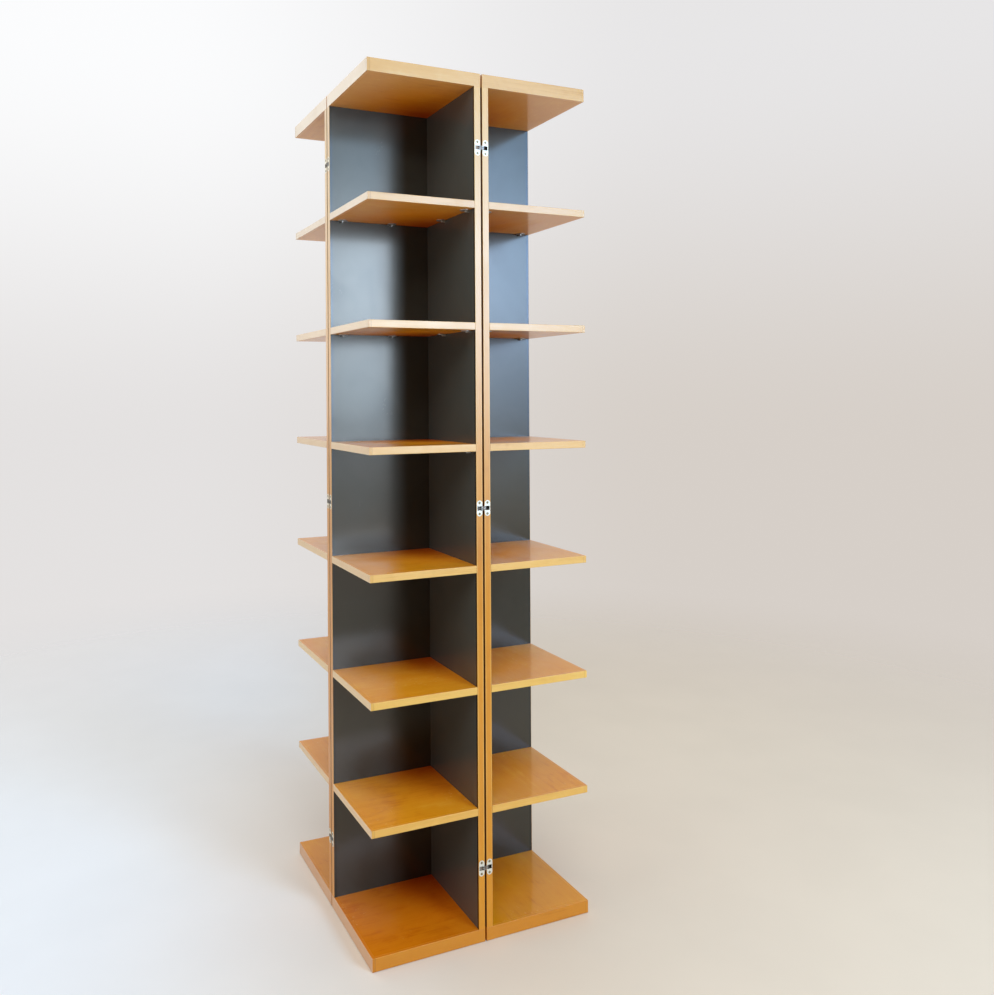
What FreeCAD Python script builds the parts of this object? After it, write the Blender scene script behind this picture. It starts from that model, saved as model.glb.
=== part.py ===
import FreeCAD, Part
import os

# A bookcase tower of four L-shaped corner units that stand back to back and fold open on
# concealed hinges. Millimetres, +X right, +Y to the rear, +Z up. The origin is on the floor,
# in the middle of the narrow gaps between the four backs.

# Plan of a unit
unit_side = 306.0
unit_gap = 5.0
panel_thickness = 17.5

# Heights
compartment_height = 288.7
compartment_count = 7
board_thickness = 33.0
shelf_thickness = 18.5

# Edges of the boards
shelf_clearance = 0.5
lipping_depth = 8.0
eased_edge = 0.8

# Shelf supports: a flat disc on a wall pin
disc_radius = 13.0
disc_thickness = 2.0
disc_reach = 11.0
disc_wall_clearance = 0.2
support_from_end = 33.0
support_spacing = 143.0
support_pin_radius = 2.5
support_pin_insert = 8.0

# Dowels
dowel_radius = 4.0
dowel_in_board = 12.0
dowel_in_panel = 18.0
dowel_from_edge = 40.0
dowel_from_panel_end = 75.0
dowels_per_panel = 3
dowels_per_corner = 5

# Clearances of pins, dowels and screws in their holes
hole_clearance = 0.05
hole_end_clearance = 0.5

# Hinge leaf and its cup
hinges_per_line = 3
hinge_from_end = 187.0
leaf_margin = 1.0
leaf_height = 40.0
leaf_thickness = 2.0
cup_rim = 1.0
cup_wall = 0.75
cup_screw_clearance = 0.5
cup_floor = 3.0
slot_height = 10.4
slot_depth = 11.0
mortise_clearance = 0.1

# Hinge arms and pivot
axis_offset = 1.0
arm_clearance = 0.1
arm_end_clearance = 0.3
arm_side_clearance = 0.2
arm_dip = 3.5
knuckle_clearance = 0.3
pivot_radius = 1.25
pivot_overhang = 0.3
finger_gap = 0.2
carrying_tail = 6.0
carried_tail = 3.0
open_slot_end = 5.0

# Hinge screws
screw_from_leaf_end = 6.0
screw_head_radius = 3.0
screw_head_depth = 1.8
screw_shank_radius = 1.5
screw_length = 16.0
recess_length = 3.6
recess_width = 0.9
recess_depth = 0.9

# Derived plan
half_gap = unit_gap / 2
outer = half_gap + unit_side
panel_face = half_gap + panel_thickness
panel_middle = half_gap + panel_thickness / 2
shelf_inner = panel_face + shelf_clearance

# Derived heights
shelf_count = compartment_count - 1
shelf_pitch = compartment_height + shelf_thickness
panel_bottom = board_thickness
panel_top = panel_bottom + compartment_count * shelf_pitch - shelf_thickness
total_height = panel_top + board_thickness

# Derived hinge sizes
axis_y = -outer - axis_offset
leaf_width = panel_thickness - 2 * leaf_margin
cup_width = leaf_width - 2 * cup_rim
slot_width = cup_width - 2 * cup_wall
cup_depth = slot_depth + cup_floor
slot_near = panel_middle - slot_width / 2
slot_far = panel_middle + slot_width / 2
screw_offset = leaf_height / 2 - screw_from_leaf_end
cup_height = 2 * (screw_offset - screw_head_radius - cup_screw_clearance)
arm_half = axis_offset - arm_clearance
knuckle_radius = half_gap - knuckle_clearance
band_height = slot_height - 2 * arm_side_clearance
carrying_reach = slot_far - arm_end_clearance
carried_reach = carrying_reach - open_slot_end

# The carrying arm has three fingers, and the carried arm's two lie between them.
finger_levels = 5
finger_height = (band_height - (finger_levels - 1) * finger_gap) / finger_levels
carrying_levels = (0, 2, 4)
carried_levels = (1, 3)

# Turn of each unit about the tower's middle
unit_turns = {"front": 0, "right": 90, "rear": 180, "left": -90}

# Each hinge line: turn from the front line, carrying unit and its side, carried unit.
# On every line the short panel ends at side -1 and the long panel at side 1.
hinge_lines = (
    (0, "front", -1, "right"),
    (90, "right", -1, "rear"),
    (-90, "front", 1, "left"),
)
hinged_short_panels = [carrying if side < 0 else carried for _, carrying, side, carried in hinge_lines]
hinged_long_panels = [carrying if side > 0 else carried for _, carrying, side, carried in hinge_lines]


# Helpers

def vec(x, y, z):
    return FreeCAD.Vector(x, y, z)


def box(x0, x1, y0, y1, z0, z1):
    """Box between two corners, given in either order along X."""
    low, high = min(x0, x1), max(x0, x1)
    return Part.makeBox(high - low, y1 - y0, z1 - z0, vec(low, y0, z0))


def rod(radius, start, end):
    """Cylinder from one point to another."""
    line = end.sub(start)
    return Part.makeCylinder(radius, line.Length, start, line)


def prism(points, z0, z1):
    """Upright prism on a closed outline in plan."""
    corners = [vec(x, y, z0) for x, y in points]
    face = Part.Face(Part.makePolygon(corners + corners[:1]))
    return face.extrude(vec(0, 0, z1 - z0))


def turned(shape, degrees):
    """Copy of a shape turned about the tower's upright middle axis."""
    copy = shape.copy()
    copy.rotate(vec(0, 0, 0), vec(0, 0, 1), degrees)
    return copy


def swapped(x, y, on_short_panel):
    """Plan point given along the long panel, or the same point along the short one."""
    return (y, x) if on_short_panel else (x, y)


def spread(low, high, count):
    """Evenly spaced places from low to high."""
    step = (high - low) / max(count - 1, 1)
    return [low + i * step for i in range(count)]


def shelf_underside(number):
    """Height of the underside of a shelf, counted from the lowest as 1."""
    return panel_bottom + number * compartment_height + (number - 1) * shelf_thickness


# Boards and shelves

def eased_board(inner, z0, z1):
    """Square board whose two outer edges and outer corner are eased."""
    board = box(-outer, -inner, -outer, -inner, z0, z1)
    limit = min(eased_edge, (z1 - z0) / 4)
    edges = []
    for edge in board.Edges:
        ends = [v.Point for v in edge.Vertexes]
        at_left = all(abs(p.x + outer) < limit for p in ends)
        at_front = all(abs(p.y + outer) < limit for p in ends)
        upright = abs(ends[0].z - ends[1].z) > limit
        if (at_left and at_front) or ((at_left or at_front) and not upright):
            edges.append(edge)
    return board.makeFillet(limit, edges)


def split_board(inner, z0, z1):
    """Core and two lippings of a board: the left lipping runs through, the front one butts."""
    board = eased_board(inner, z0, z1)
    seam = -outer + lipping_depth
    core = board.common(box(seam, -inner, seam, -inner, z0, z1))
    left = board.common(box(-outer, seam, -outer, -inner, z0, z1))
    front = board.common(box(seam, -inner, -outer, seam, z0, z1))
    return core, [left, front]


# Dowels

def dowel_and_hole(x, y, z, along, first, second):
    """A dowel that reaches `first` back and `second` forward of a joint, and its hole."""
    joint = vec(x, y, z)
    start = joint - along * first
    end = joint + along * second
    dowel = rod(dowel_radius, start, end)
    hole = rod(
        dowel_radius + hole_clearance,
        start - along * hole_end_clearance,
        end + along * hole_end_clearance,
    )
    return dowel, hole


def make_dowels():
    """Dowels and holes: panels to base board, panels to top board, panel to panel."""
    up = vec(0, 0, 1)
    long_places = spread(-outer + dowel_from_edge, -half_gap - dowel_from_edge, dowels_per_panel)
    short_places = spread(-outer + dowel_from_edge, -panel_face - dowel_from_edge, dowels_per_panel)
    plan = [(x, -panel_middle) for x in long_places]
    plan += [(-panel_middle, y) for y in short_places]
    base = [dowel_and_hole(x, y, panel_bottom, up, dowel_in_board, dowel_in_panel) for x, y in plan]
    top = [dowel_and_hole(x, y, panel_top, up, dowel_in_panel, dowel_in_board) for x, y in plan]
    heights = spread(
        panel_bottom + dowel_from_panel_end,
        panel_top - dowel_from_panel_end,
        dowels_per_corner,
    )
    rearward = vec(0, 1, 0)
    corner = [
        dowel_and_hole(-panel_middle, -panel_face, z, rearward, dowel_in_panel, dowel_in_board)
        for z in heights
    ]
    return base, top, corner


# Shelf supports

def support_and_hole(from_end, under, on_short_panel):
    """A flat disc with its wall pin, its top on the shelf's underside, and the pin's hole."""
    along = -outer + from_end
    across = -panel_face - disc_reach
    x, y = swapped(along, across, on_short_panel)
    disc = Part.makeCylinder(disc_radius, disc_thickness, vec(x, y, under - disc_thickness))
    wall = -panel_face - disc_wall_clearance
    reach = disc_reach + disc_radius
    x0, y0 = swapped(along - disc_radius, wall, on_short_panel)
    x1, y1 = swapped(along + disc_radius, wall + reach, on_short_panel)
    disc = disc.cut(box(x0, x1, y0, y1, under - disc_thickness, under))
    pin_z = under - disc_thickness - support_pin_radius / 2
    seat = -panel_face + support_pin_insert
    seat_x, seat_y = swapped(along, seat, on_short_panel)
    deep_x, deep_y = swapped(along, seat + hole_end_clearance, on_short_panel)
    pin = rod(support_pin_radius, vec(x, y, pin_z), vec(seat_x, seat_y, pin_z))
    hole = rod(
        support_pin_radius + hole_clearance,
        vec(x, y, pin_z),
        vec(deep_x, deep_y, pin_z),
    )
    return disc.fuse(pin).removeSplitter(), hole


def make_supports():
    """All supports of a unit, with the pin holes in the long and in the short panel."""
    supports, holes = [], ([], [])
    for number in range(1, shelf_count + 1):
        for on_short_panel in (False, True):
            for from_end in (support_from_end, support_from_end + support_spacing):
                support, hole = support_and_hole(from_end, shelf_underside(number), on_short_panel)
                supports.append(support)
                holes[on_short_panel].append(hole)
    return supports, holes


# Hinges, drawn at the front line: side -1 is the left-hand panel end, 1 the right-hand one

hinge_heights = spread(hinge_from_end, total_height - hinge_from_end, hinges_per_line)


def rounded_plate(side, width, height, depth, z):
    """Upright plate with round ends, let in from the panel's end face."""
    middle = side * panel_middle
    radius = width / 2
    straight = height / 2 - radius
    left, right = middle - radius, middle + radius
    low, high = z - straight, z + straight
    crown = vec(middle, -outer, z + height / 2)
    foot = vec(middle, -outer, z - height / 2)
    outline = [
        Part.LineSegment(vec(left, -outer, low), vec(left, -outer, high)).toShape(),
        Part.Arc(vec(left, -outer, high), crown, vec(right, -outer, high)).toShape(),
        Part.LineSegment(vec(right, -outer, high), vec(right, -outer, low)).toShape(),
        Part.Arc(vec(right, -outer, low), foot, vec(left, -outer, low)).toShape(),
    ]
    return Part.Face(Part.Wire(outline)).extrude(vec(0, depth, 0))


def cup_block(side, width, height, depth, z):
    """Block let in from the panel's end face, in the middle of the panel."""
    left = side * panel_middle - width / 2
    low = z - height / 2
    return box(left, left + width, -outer, -outer + depth, low, low + height)


def screw_places(z):
    return (z - screw_offset, z + screw_offset)


def screw_body(side, z, clearance, extra_length):
    """Countersunk screw, or the hole for it when a clearance is given."""
    inward = vec(0, 1, 0)
    mouth = vec(side * panel_middle, -outer, z)
    head = Part.makeCone(
        screw_head_radius + clearance,
        screw_shank_radius + clearance,
        screw_head_depth,
        mouth,
        inward,
    )
    shank = rod(screw_shank_radius + clearance, mouth, mouth + inward * (screw_length + extra_length))
    return head.fuse(shank).removeSplitter()


def make_screw(side, z):
    """Screw with a cross recess in its head."""
    middle = side * panel_middle
    long_half, short_half = recess_length / 2, recess_width / 2
    depth = -outer + recess_depth
    upright = box(middle - short_half, middle + short_half, -outer, depth, z - long_half, z + long_half)
    level = box(middle - long_half, middle + long_half, -outer, depth, z - short_half, z + short_half)
    return screw_body(side, z, 0, 0).cut([upright, level])


def make_leaf(side, z):
    """Leaf plate with its cup, the slot for the arms and two countersunk holes."""
    plate = rounded_plate(side, leaf_width, leaf_height, leaf_thickness, z)
    leaf = plate.fuse(cup_block(side, cup_width, cup_height, cup_depth, z)).removeSplitter()
    tools = [cup_block(side, slot_width, slot_height, slot_depth, z)]
    tools += [screw_body(side, place, hole_clearance, 0) for place in screw_places(z)]
    return leaf.cut(tools)


def mortise(side, z):
    """Recess in the panel's end for one leaf and its screws."""
    wide = 2 * mortise_clearance
    plate = rounded_plate(side, leaf_width + wide, leaf_height + wide, leaf_thickness, z)
    cup = cup_block(side, cup_width + wide, cup_height + wide, cup_depth + mortise_clearance, z)
    holes = [screw_body(side, place, hole_clearance, hole_end_clearance) for place in screw_places(z)]
    return [plate, cup] + holes


def finger_bottom(level, z):
    return z - band_height / 2 + level * (finger_height + finger_gap)


def make_arm(side, reach, tail, levels, z):
    """Arm: fingers round the pivot that run over the panel's edge and dip into the slot."""
    bend = slot_near + arm_end_clearance
    root = reach - tail
    dip_share = (root - bend) / (reach - bend)
    root_y = axis_y - arm_half + (arm_dip + arm_half) * dip_share
    floor_y = -outer + slot_depth
    finger = [
        (0, axis_y - arm_half),
        (side * bend, axis_y - arm_half),
        (side * root, root_y),
        (side * root, root_y + 2 * arm_half),
        (side * bend, axis_y + arm_half),
        (0, axis_y + arm_half),
    ]
    tail_outline = [
        (side * root, root_y),
        (side * reach, axis_y + arm_dip),
        (side * reach, floor_y),
        (side * root, floor_y),
    ]
    arm = prism(tail_outline, z - band_height / 2, z + band_height / 2)
    knuckles = []
    for level in levels:
        low = finger_bottom(level, z)
        arm = arm.fuse(prism(finger, low, low + finger_height))
        knuckles.append(rod(knuckle_radius, vec(0, axis_y, low), vec(0, axis_y, low + finger_height)))
    return arm.fuse(knuckles).removeSplitter().cut(pivot_rod(pivot_radius + hole_clearance, z))


def pivot_rod(radius, z):
    """Upright rod through the knuckles: the pivot pin, or the hole for it."""
    half = band_height / 2 + pivot_overhang
    return rod(radius, vec(0, axis_y, z - half), vec(0, axis_y, z + half))


def end_mortises(side, turn):
    """All recesses of one hinge line in one panel end."""
    return [turned(tool, turn) for z in hinge_heights for tool in mortise(side, z)]


# Panels

def split_panel(on_short_panel, near_end, tools, hinge_tools):
    """Core and end lipping of an upright panel, with its holes and hinge recesses."""
    seam = -outer + lipping_depth
    end_x, end_y = swapped(-outer, -panel_face, on_short_panel)
    far_x, far_y = swapped(near_end, -half_gap, on_short_panel)
    panel = box(end_x, far_x, end_y, far_y, panel_bottom, panel_top)
    limit = min(eased_edge, panel_thickness / 4)
    end_edges = []
    for edge in panel.Edges:
        ends = [swapped(v.X, v.Y, on_short_panel)[0] for v in edge.Vertexes]
        upright = abs(edge.Vertexes[0].Z - edge.Vertexes[1].Z) > limit
        if upright and all(abs(end + outer) < limit for end in ends):
            end_edges.append(edge)
    panel = panel.makeFillet(limit, end_edges).cut(tools + hinge_tools)
    seam_x, seam_y = swapped(seam, -half_gap, on_short_panel)
    lipping = panel.common(box(end_x, seam_x, end_y, seam_y, panel_bottom, panel_top))
    seam_x, seam_y = swapped(seam, -panel_face, on_short_panel)
    core = panel.common(box(seam_x, far_x, seam_y, far_y, panel_bottom, panel_top))
    return core, lipping


# One unit, drawn in the front unit's place

base_dowels, top_dowels, corner_dowels = make_dowels()
dowels = [dowel for dowel, hole in base_dowels + top_dowels + corner_dowels]
base_holes = [hole for dowel, hole in base_dowels]
top_holes = [hole for dowel, hole in top_dowels]
corner_holes = [hole for dowel, hole in corner_dowels]
supports, support_holes = make_supports()

base_core, base_lippings = split_board(half_gap, 0, board_thickness)
top_core, top_lippings = split_board(half_gap, panel_top, total_height)
base_core = base_core.cut(base_holes)
top_core = top_core.cut(top_holes)

shelves, shelf_lippings = [], []
for shelf_number in range(1, shelf_count + 1):
    under = shelf_underside(shelf_number)
    shelf_core, lippings = split_board(shelf_inner, under, under + shelf_thickness)
    shelves.append(shelf_core)
    shelf_lippings += lippings

panel_holes = base_holes + top_holes + corner_holes
long_tools = panel_holes + support_holes[False]
short_tools = panel_holes + support_holes[True]
long_panels = {
    True: split_panel(False, -half_gap, long_tools, end_mortises(1, -90)),
    False: split_panel(False, -half_gap, long_tools, []),
}
short_panels = {
    True: split_panel(True, -panel_face, short_tools, end_mortises(-1, 0)),
    False: split_panel(True, -panel_face, short_tools, []),
}

# Nodes of the four units

nodes = {}
for unit, turn in unit_turns.items():
    long_core, long_lipping = long_panels[unit in hinged_long_panels]
    short_core, short_lipping = short_panels[unit in hinged_short_panels]
    unit_lippings = [long_lipping, short_lipping] + base_lippings + top_lippings + shelf_lippings
    nodes[unit + "_long_panel"] = turned(long_core, turn)
    nodes[unit + "_short_panel"] = turned(short_core, turn)
    nodes[unit + "_edge_lippings"] = turned(Part.makeCompound(unit_lippings), turn)
    nodes[unit + "_base_board"] = turned(base_core, turn)
    nodes[unit + "_top_board"] = turned(top_core, turn)
    for shelf_number, shelf in enumerate(shelves, 1):
        nodes[unit + "_shelf_" + str(shelf_number)] = turned(shelf, turn)
    nodes[unit + "_shelf_supports"] = turned(Part.makeCompound(supports), turn)
    nodes[unit + "_dowels"] = turned(Part.makeCompound(dowels), turn)

# Nodes of the hinges, grouped by the unit that carries them

leaves = {unit: [] for unit in unit_turns}
arms = {unit: [] for unit in unit_turns}
for turn, carrying, side, carried in hinge_lines:
    for z in hinge_heights:
        for unit, end_side in ((carrying, side), (carried, -side)):
            leaves[unit].append(turned(make_leaf(end_side, z), turn))
            for place in screw_places(z):
                leaves[unit].append(turned(make_screw(end_side, place), turn))
        carrying_arm = make_arm(side, carrying_reach, carrying_tail, carrying_levels, z)
        carried_arm = make_arm(-side, carried_reach, carried_tail, carried_levels, z)
        arms[carrying] += [turned(carrying_arm, turn), turned(pivot_rod(pivot_radius, z), turn)]
        arms[carried].append(turned(carried_arm, turn))
for unit in unit_turns:
    nodes[unit + "_hinge_leaves_and_screws"] = Part.makeCompound(leaves[unit])
    nodes[unit + "_hinge_arms"] = Part.makeCompound(arms[unit])

# One file per node

os.makedirs("parts", exist_ok=True)
for name, shape in nodes.items():
    if not shape.isValid():
        raise ValueError("invalid shape: " + name)
    shape.exportStep("parts/" + name + ".step")
print(len(nodes), "nodes,", sum(len(shape.Solids) for shape in nodes.values()), "solids")
print("height", total_height, "half width", outer, "hinge axis", outer + axis_offset)
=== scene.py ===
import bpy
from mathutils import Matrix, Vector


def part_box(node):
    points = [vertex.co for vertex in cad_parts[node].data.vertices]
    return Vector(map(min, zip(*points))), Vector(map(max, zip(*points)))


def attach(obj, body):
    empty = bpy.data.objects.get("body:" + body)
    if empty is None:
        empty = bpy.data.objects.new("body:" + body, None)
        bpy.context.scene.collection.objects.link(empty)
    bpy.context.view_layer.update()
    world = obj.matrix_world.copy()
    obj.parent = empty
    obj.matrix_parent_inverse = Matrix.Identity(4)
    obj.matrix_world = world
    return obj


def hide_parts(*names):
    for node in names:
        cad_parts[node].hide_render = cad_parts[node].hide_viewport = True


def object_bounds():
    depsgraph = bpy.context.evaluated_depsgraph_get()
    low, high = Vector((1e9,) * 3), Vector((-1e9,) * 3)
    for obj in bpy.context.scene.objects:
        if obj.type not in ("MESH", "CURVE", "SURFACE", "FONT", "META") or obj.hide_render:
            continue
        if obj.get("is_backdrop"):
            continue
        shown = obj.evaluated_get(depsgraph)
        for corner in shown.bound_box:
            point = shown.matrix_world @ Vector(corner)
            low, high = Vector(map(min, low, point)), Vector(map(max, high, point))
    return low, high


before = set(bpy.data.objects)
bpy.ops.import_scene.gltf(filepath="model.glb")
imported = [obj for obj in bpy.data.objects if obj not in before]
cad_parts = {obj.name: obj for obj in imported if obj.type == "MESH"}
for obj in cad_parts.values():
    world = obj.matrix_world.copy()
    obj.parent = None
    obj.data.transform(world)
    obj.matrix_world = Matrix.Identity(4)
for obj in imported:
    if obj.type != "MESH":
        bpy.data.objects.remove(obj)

import inspect
import math

import bpy
import numpy as np
from bpy.props import FloatProperty, FloatVectorProperty, IntProperty, PointerProperty
from mathutils import Color, Matrix, Vector

bl_info = {
    "name": "Hinged Corner Bookcase",
    "version": (1, 0, 0),
    "blender": (4, 5, 0),
    "location": "View3D > Sidebar > Bookcase",
    "description": "Finishes, shelf supports, floor, lamps and camera of a tower of four hinged units",
    "category": "3D View",
}

IMAGE_WIDTH = 994
IMAGE_HEIGHT = 995

# Every unit is the front unit turned about the middle of the tower by this many degrees
UNIT_TURNS = {"front": 0.0, "right": 90.0, "rear": 180.0, "left": -90.0}
# Keeps the wood of one unit from repeating in the next
UNIT_SHIFTS = {"front": 0.0, "right": 3.7, "rear": 7.9, "left": 12.3}

# Layout of the front unit, in metres
OUTER_FACE = -0.3085
LIPPING_LINE = -0.3005
INNER_END = -0.0025
PANEL_FACE = -0.0200
BASE_TOP = 0.033
TOP_UNDERSIDE = 2.1649
TOP_FACE = 2.1979
BOARD_PITCH = 0.3072
SHELF_COUNT = 6
FLOOR_LEVEL = -0.0010
# The top face, open to the room, counts down to this depth
OPEN_TOP_DEPTH = 0.001
# A point this near to a face counts as on it
NEARLY = 0.0003
# Solid wood shows this far in from the outer face, where the edges are eased; beyond it a finish covers it
EASED_DEPTHS = (0.0006, 0.0010)
EASED_EDGE = 0.0008
# Depth of the end grain at a lipping's ends, and of the left face that gets painted light
END_DEPTHS = (0.0008, 0.0002)
FACE_DEPTHS = (0.0009, 0.0003)
GLUE_LINE_WIDTH = 0.0004
# Painted highlight on the eased margins of the panels' solid edges, from the middle of the panel's thickness
MARGIN = (0.0045, 0.0075)
# Hinges: middle of the panel ends, lowest hinge, spacing, screws above and below the middle, their heads,
# the dark ring round a head and the depth below which a recess is coloured dark
PANEL_MIDDLE = -0.01125
HINGE_HEIGHT = 0.187
HINGE_SPACING = 0.91195
SCREW_OFFSET = 0.014
SCREW_HEAD = 0.003
SCREW_RIM = (0.0004, 0.0001)
RECESS_DEPTHS = (0.0002, 0.0009)

# Heights between which a finish changes, in metres
# Painted light: the lacquer turns paler and bluer between these heights, with painted shade below
LACQUER_PALES = (0.2, 1.9)
# Painted shade deepens the base board's veneer below these heights
BASE_DEEPENS = (0.20, 0.04)
# Painted light pales the veneer between these heights
VENEER_PALES = (1.60, 2.15)
# Painted shade on the solid edges by height: deeper near the floor, golden below the middle, dimmer higher
# up
EDGE_DEEPENS = (0.0, 0.5)
EDGE_YELLOWS = (1.3, 0.6)
EDGE_DIMS = (1.05, 1.85)
# Painted light on the left-facing edges between these heights
LEFT_BLEACHES = (1.2, 2.15)
# Painted sheen pales the upright edges between these heights
UPRIGHT_BLEACHES = (0.7, 2.1)
COAT_WEARS = (0.0, 0.6)
# Distances from the inner corner between which a board changes, in metres: painted corner shade, the heavier
# clear coat with its painted sheen tint, and painted light
CORNER_DEEPENS = (0.27, 0.03)
POLISH_GROWS = (0.18, 0.29)
# Painted light pales the veneer this far from the inner corner
SUN_REACHES = (0.14, 0.40)

# Shares: lacquer clouds, settled dust, painted light on the boards, their scuffs, painted light on left
# edges, painted shade dimming edges, their painted highlight margin, painted sheen on uprights, glue lines,
# and the coat near the floor
LACQUER_CLOUDS = (0.90, 1.12)
DUST_SHARE = 0.12
# Shares of painted light on the veneer, low and high
VENEER_PALE_SHARES = (0.0, 0.34)
SCUFF_SHARE = 0.35
# Shares of painted light on the left-facing edges, low and high
LEFT_BLEACH_SHARES = (0.30, 0.50)
# Painted shade dimming the level edges, low and high
EDGE_DIM_SHARES = (1.0, 0.82)
# Share of the painted highlight in the upright edges' margins
MARGIN_SHARE = 0.45
# Share of painted sheen on the upright edges high up
UPRIGHT_BLEACH_SHARE = 0.6
GLUE_SHARE = 0.75
WORN_COAT_SHARE = 0.3
# Fixed tones, some of them above 1 because they multiply another
WHITE = (1.0, 1.0, 1.0, 1.0)
# Painted shade on the lacquer low down and painted light on it high up
LACQUER_LOW = (0.82, 0.67, 0.46, 1.0)
LACQUER_HIGH = (1.34, 1.48, 1.76, 1.0)
LACQUER_BLOOM = (0.86, 1.0, 1.0, 1.0)
DUST_TONE = (0.30, 0.28, 0.25, 1.0)
# Painted sheen tint, greener, on the boards' outer parts
POLISH_TINT = (1.0, 1.08, 0.96, 1.0)
GLUE_TONE = (0.16, 0.07, 0.02, 1.0)

# Depth of each finish's fine relief, in metres
LACQUER_RELIEF = 0.00003
WOOD_RELIEF = 0.00005
DOWEL_RELIEF = 0.0001
METAL_RELIEF = 0.00002

# Lamps that the panels mirror, side by side in one upright plane: share of the front brightness, tint,
# reach across and reach up
FRONT_LAMP_PLANE = -4.6
FRONT_LAMPS = (
    ("front_upper", 1.00, (0.57, 0.75, 1.00), (0.95, 2.00), (1.85, 2.75)),
    ("front_lower", 0.68, (0.56, 0.75, 1.00), (0.95, 2.00), (1.08, 1.85)),
    ("front_top", 0.30, (0.48, 0.70, 1.00), (0.95, 2.00), (2.75, 3.75)),
    ("side_upper", 0.82, (0.38, 0.60, 1.00), (2.00, 3.35), (1.85, 2.85)),
    ("side_lower", 0.35, (0.42, 0.62, 1.00), (2.00, 3.35), (1.08, 1.85)),
    ("side_top", 0.50, (0.34, 0.58, 1.00), (2.00, 3.35), (2.85, 3.75)),
    ("front_low", 0.045, (0.82, 0.93, 1.00), (0.90, 2.00), (0.45, 1.00)),
    ("side_low", 0.080, (0.82, 0.93, 1.00), (2.00, 3.35), (0.45, 1.00)),
    ("front_floor", 0.125, (0.90, 0.94, 1.00), (0.90, 2.00), (0.02, 0.45)),
    ("side_floor", 0.060, (1.00, 0.80, 0.50), (2.00, 3.35), (0.02, 0.45)),
    ("narrow", 0.45, (0.20, 0.80, 1.00), (2.02, 2.48), (1.85, 3.75)),
)
# Other lamps: the setting of their brightness, a share of it, tint, place, target and size
ROOM_LAMPS = (
    ("overhead", "overhead_radiance", 1.0, (1.0, 0.965, 0.92),
     (-0.9, -2.9, 4.3), (0.0, 0.0, 1.2), (2.6, 2.6)),
    ("left", "left_radiance", 1.0, (0.66, 0.87, 1.0),
     (-3.6, 0.2, 2.2), (-0.2, 0.0, 1.6), (2.2, 2.2)),
    ("back_left", "back_radiance", 1.0, (1.0, 0.99, 0.98),
     (-2.3, 3.6, 1.8), (-0.3, 0.0, 1.3), (2.0, 1.4)),
    ("back_left_upper", "back_radiance", 1.15, (0.90, 0.97, 1.0),
     (-2.3, 3.6, 3.2), (-0.3, 0.0, 1.6), (2.0, 1.4)),
)
# Level direction from the cool left side of the room to its warm right side, and where along it the floor's
# painted light turns to painted shade (in metres) and the background turns warm
ROOM_RIGHT = (0.906, -0.423, 0.0)
FLOOR_WARMS = (-1.1, 0.35)
SKY_WARMS = (-0.30, 0.26)
# Rise of a direction between which the background pales and the even light grows, above and below
SKY_PALES = (-0.06, 0.36)
LIGHT_GROWS = (-0.2, 0.9)
LIGHT_GROWS_BELOW = (-0.02, -0.25)
# Share of a direction along +Y between which the dimmed front ends
FRONT_ENDS = (-0.80, 0.10)
# Middle of a noise's spread, and the floor's scuffs and roughness over it
NOISE_SPREAD = (0.3, 0.7)
FLOOR_SCUFFS = (0.975, 1.0)
FLOOR_ROUGHNESS = (0.60, 0.66)
FLOOR_RINGS = 48
FLOOR_SEGMENTS = 96


# Settings

def colour(name, description, default):
    """Colour property with the usual limits."""
    return FloatVectorProperty(
        name=name, description=description, default=default, subtype="COLOR", size=3, min=0.0, max=1.0,
    )


def share(name, description, default):
    """Property from 0 to 1."""
    return FloatProperty(
        name=name, description=description, default=default, subtype="FACTOR", min=0.0, max=1.0,
    )


def length(name, description, default):
    """Length property in metres."""
    return FloatProperty(
        name=name, description=description, default=default, subtype="DISTANCE", unit="LENGTH", precision=4,
    )


def angle(name, description, degrees):
    """Angle property, its default given in degrees."""
    return FloatProperty(
        name=name, description=description, default=math.radians(degrees), subtype="ANGLE", unit="ROTATION",
    )


def amount(name, description, default):
    """Plain number property."""
    return FloatProperty(name=name, description=description, default=default)


def count(name, description, default, low, high):
    """Whole number between two limits."""
    return IntProperty(name=name, description=description, default=default, min=low, max=high)


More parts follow.
